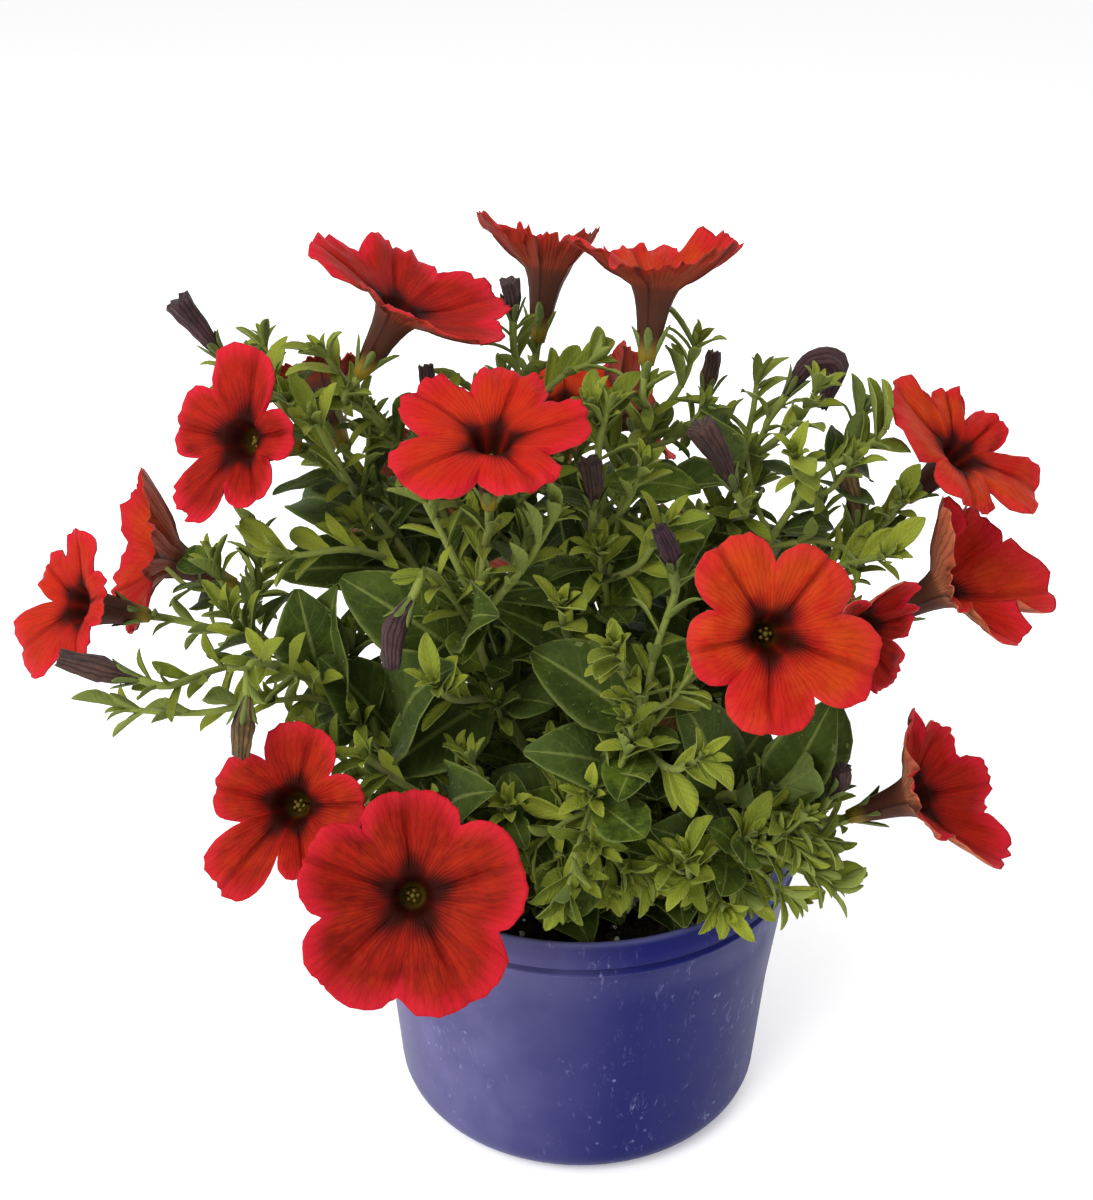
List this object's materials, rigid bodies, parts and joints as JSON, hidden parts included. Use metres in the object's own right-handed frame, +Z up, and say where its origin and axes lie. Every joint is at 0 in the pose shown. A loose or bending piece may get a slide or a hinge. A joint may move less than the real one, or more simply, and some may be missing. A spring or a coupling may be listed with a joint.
{
  "type": "potted petchoa",
  "caption": "Bushy bedding plant with leafy stems and five-lobed trumpet blooms, standing in a squat flared grower's pot filled with soil.",
  "frame": {"origin": "centre of the flat underside of the pot", "axes": "+Z up along the pot's axis, -Y towards the front of the plant, +X to its right"},
  "size_m": [0.2918, 0.221, 0.2639],
  "materials": {
    "pot": "blue-violet thin moulded plastic, half gloss with pale scuffs",
    "soil": "damp dark potting compost of peat and bark with white perlite",
    "foliage": "matte felted grey-green leaves and hairy stems",
    "petal": "velvety red-orange petals with a dark throat star and fine veins",
    "spent_bloom": "matte dark purple to olive brown, wrinkled"
  },
  "bodies": {
    "root": {"pot": "pot", "soil": "soil", "bloom_01": "petal", "bloom_02": "petal", "bloom_03": "petal", "bloom_04": "petal", "bloom_05": "petal", "bloom_06": "petal", "bloom_07": "petal", "bloom_08": "petal", "bloom_09": "petal", "bloom_10": "petal", "bloom_11": "petal", "bloom_12": "petal", "bloom_13": "petal", "bloom_14": "petal", "bloom_15": "petal", "bloom_16": "petal", "bloom_17": "petal", "bloom_18": "petal", "bloom_19": "petal", "bloom_20": "petal", "bloom_21": "petal", "bloom_22": "petal", "spent_01": "spent_bloom", "spent_02": "spent_bloom", "spent_03": "spent_bloom", "spent_04": "spent_bloom", "spent_05": "spent_bloom", "spent_06": "spent_bloom", "spent_07": "spent_bloom", "spent_08": "spent_bloom", "spent_09": "spent_bloom", "spent_10": "spent_bloom", "spent_11": "spent_bloom", "spent_12": "spent_bloom", "spent_13": "spent_bloom", "spent_14": "spent_bloom", "stem_front_left": "foliage", "stem_left_low": "foliage", "stem_left_high": "foliage", "stem_left_top": "foliage", "stem_middle_top": "foliage", "stem_middle_right": "foliage", "stem_right_top": "foliage", "stem_right_high": "foliage", "stem_right_mid": "foliage", "stem_right_low": "foliage", "stem_front_right": "foliage", "stem_front_middle": "foliage", "stem_front_high": "foliage", "stem_front_low": "foliage", "stem_middle": "foliage", "stem_right_front": "foliage", "stem_back_middle": "foliage", "stem_back_left": "foliage", "stem_back_right": "foliage", "stem_back_low_left": "foliage", "stem_back_low_right": "foliage"}
  },
  "joints": []
}
